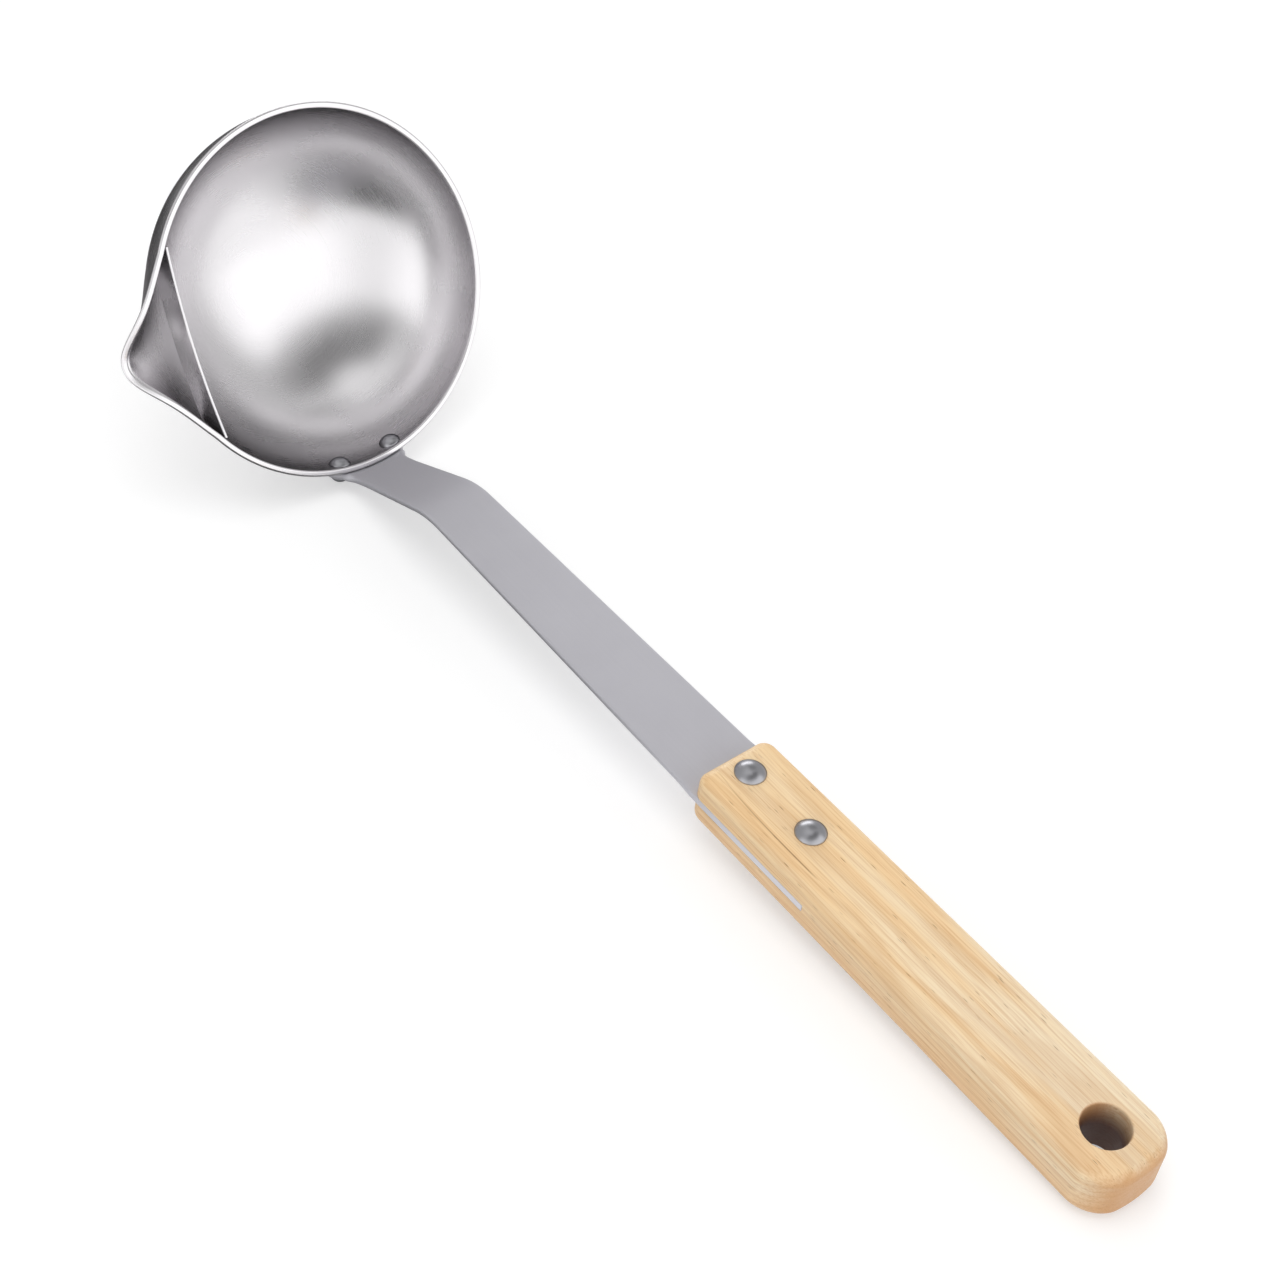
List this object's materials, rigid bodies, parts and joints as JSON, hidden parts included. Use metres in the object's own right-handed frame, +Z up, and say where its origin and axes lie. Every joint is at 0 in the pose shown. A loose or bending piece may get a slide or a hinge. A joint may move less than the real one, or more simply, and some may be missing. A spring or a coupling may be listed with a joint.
{
  "type": "fat separator ladle",
  "caption": "Steel ladle with a round bowl, a pouring spout behind a separator plate, and a riveted strap leading to a flat wooden handle with a hanging hole.",
  "frame": {"origin": "middle of the bounding box's footprint, on the table that the ladle lies on", "axes": "+X along the handle from the bowl to the hanging hole, -Y toward the spout, +Z up from the table"},
  "size_m": [0.343, 0.1062, 0.0889],
  "materials": {
    "bowl_steel": "fine satin brushing inside, brighter rim",
    "strap_steel": "matt satin",
    "rivet_steel": "smooth domed heads",
    "pale_wood": "sanded, thin clear oil"
  },
  "bodies": {
    "root": {"bowl": "bowl_steel", "separator_plate": "bowl_steel", "shank": "strap_steel", "bowl_rivet_left": "rivet_steel", "bowl_rivet_right": "rivet_steel", "handle_rivet_front": "rivet_steel", "handle_rivet_rear": "rivet_steel", "wood_handle": "pale_wood"}
  },
  "joints": []
}
